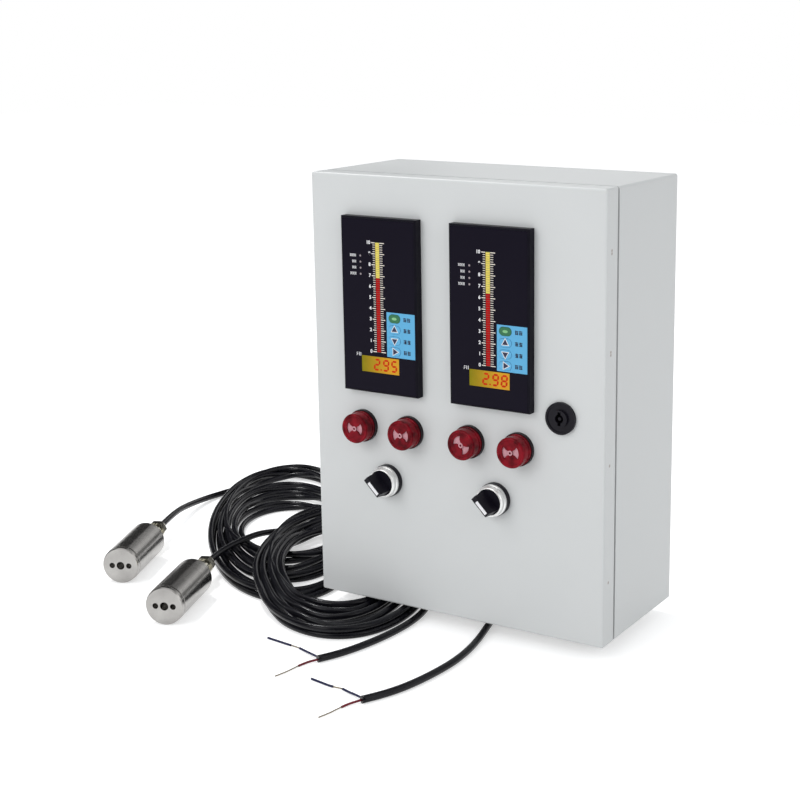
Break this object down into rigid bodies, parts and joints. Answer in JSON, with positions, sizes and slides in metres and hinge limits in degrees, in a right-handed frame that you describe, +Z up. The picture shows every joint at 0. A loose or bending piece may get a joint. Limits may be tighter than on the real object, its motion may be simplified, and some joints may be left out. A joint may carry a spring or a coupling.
{
  "type": "water level indicator",
  "caption": "Grey steel wall box with bar-graph level meters, buzzer lamps and selector switches in its hinged door, and submersible probes on coiled black cables.",
  "frame": {"origin": "centre of the four wall fixing holes, on the outside of the back wall", "axes": "+X right seen from the front, +Y from the door towards the wall, +Z up"},
  "size_m": [0.6124, 0.5565, 0.414],
  "materials": {
    "paint": "light grey powder coat, satin",
    "black_plastic": "black moulded plastic",
    "foam": "foamed-in gasket",
    "zinc": "zinc-plated steel",
    "steel": "turned stainless steel",
    "chrome": "bright metal ring",
    "red_lens": "dark red translucent plastic",
    "lamp_base": "near-black moulded plastic",
    "film": "printed polyester film",
    "display": "circuit board with display blocks",
    "key_film": "light blue key film",
    "case": "black moulded case",
    "terminal_grey": "grey terminal bodies",
    "rubber": "black rubber",
    "nickel": "nickel-plated brass",
    "jacket": "glossy black cable jacket",
    "wire": "blue and red insulated conductors"
  },
  "bodies": {
    "box": {"cabinet": "paint", "hinge_frame_leaf_upper": "zinc", "hinge_frame_leaf_lower": "zinc", "hinge_pins": "steel", "mounting_plate": "zinc", "plate_nuts": "zinc", "terminal_rail": "zinc", "terminals": "terminal_grey", "entry_grommets": "rubber", "feet": "rubber", "probe_1_body": "steel", "probe_2_body": "steel", "probe_1_gland": "nickel", "probe_2_gland": "nickel", "cable_1_coil": "jacket", "cable_2_coil": "jacket", "cable_1_tube": "jacket", "cable_2_tube": "jacket", "cable_1_wires": "wire", "cable_2_wires": "wire"},
    "lock_turning": {"lock_core": "black_plastic", "lock_cam": "zinc"},
    "selector_left": {"selector_left_knob": "black_plastic"},
    "selector_right": {"selector_right_knob": "black_plastic"},
    "key_left_1": {"meter_left_key_1": "key_film"},
    "key_left_2": {"meter_left_key_2": "key_film"},
    "key_left_3": {"meter_left_key_3": "key_film"},
    "key_left_4": {"meter_left_key_4": "key_film"},
    "key_right_1": {"meter_right_key_1": "key_film"},
    "key_right_2": {"meter_right_key_2": "key_film"},
    "key_right_3": {"meter_right_key_3": "key_film"},
    "key_right_4": {"meter_right_key_4": "key_film"},
    "door_leaf": {"door": "paint", "door_gasket": "foam", "hinge_door_leaf_upper": "zinc", "hinge_door_leaf_lower": "zinc", "lock_body": "black_plastic", "panel_nuts": "black_plastic", "meter_left_bezel": "black_plastic", "meter_left_case": "case", "meter_left_face": "film", "meter_left_board": "display", "meter_right_bezel": "black_plastic", "meter_right_case": "case", "meter_right_face": "film", "meter_right_board": "display", "meter_clamps": "zinc", "buzzer_1_body": "lamp_base", "buzzer_2_body": "lamp_base", "buzzer_3_body": "lamp_base", "buzzer_4_body": "lamp_base", "buzzer_1_lens": "red_lens", "buzzer_2_lens": "red_lens", "buzzer_3_lens": "red_lens", "buzzer_4_lens": "red_lens", "selector_left_body": "black_plastic", "selector_left_ring": "chrome", "selector_right_body": "black_plastic", "selector_right_ring": "chrome"}
  },
  "joints": [
    {"name": "door_hinge", "type": "hinge", "parent": "box", "child": "door_leaf", "pos_m": [-0.144, -0.127, 0], "axis": [0, 0, -1], "range_deg": [0, 105]},
    {"name": "lock_turn", "type": "hinge", "parent": "door_leaf", "child": "lock_turning", "pos_m": [0.1085, -0.14, 0.002], "axis": [0, 1, 0], "range_deg": [0, 90]},
    {"name": "selector_left_turn", "type": "hinge", "parent": "door_leaf", "child": "selector_left", "pos_m": [-0.071, -0.14, -0.08], "axis": [0, 1, 0], "range_deg": [0, 90]},
    {"name": "selector_right_turn", "type": "hinge", "parent": "door_leaf", "child": "selector_right", "pos_m": [0.043, -0.14, -0.08], "axis": [0, 1, 0], "range_deg": [0, 90]},
    {"name": "key_left_1_press", "type": "slide", "parent": "door_leaf", "child": "key_left_1", "axis": [0, 1, 0], "range_m": [0, 0.0005], "stiffness_N_per_m": 400, "springref_m": -0.0005},
    {"name": "key_left_2_press", "type": "slide", "parent": "door_leaf", "child": "key_left_2", "axis": [0, 1, 0], "range_m": [0, 0.0005], "stiffness_N_per_m": 400, "springref_m": -0.0005},
    {"name": "key_left_3_press", "type": "slide", "parent": "door_leaf", "child": "key_left_3", "axis": [0, 1, 0], "range_m": [0, 0.0005], "stiffness_N_per_m": 400, "springref_m": -0.0005},
    {"name": "key_left_4_press", "type": "slide", "parent": "door_leaf", "child": "key_left_4", "axis": [0, 1, 0], "range_m": [0, 0.0005], "stiffness_N_per_m": 400, "springref_m": -0.0005},
    {"name": "key_right_1_press", "type": "slide", "parent": "door_leaf", "child": "key_right_1", "axis": [0, 1, 0], "range_m": [0, 0.0005], "stiffness_N_per_m": 400, "springref_m": -0.0005},
    {"name": "key_right_2_press", "type": "slide", "parent": "door_leaf", "child": "key_right_2", "axis": [0, 1, 0], "range_m": [0, 0.0005], "stiffness_N_per_m": 400, "springref_m": -0.0005},
    {"name": "key_right_3_press", "type": "slide", "parent": "door_leaf", "child": "key_right_3", "axis": [0, 1, 0], "range_m": [0, 0.0005], "stiffness_N_per_m": 400, "springref_m": -0.0005},
    {"name": "key_right_4_press", "type": "slide", "parent": "door_leaf", "child": "key_right_4", "axis": [0, 1, 0], "range_m": [0, 0.0005], "stiffness_N_per_m": 400, "springref_m": -0.0005}
  ]
}
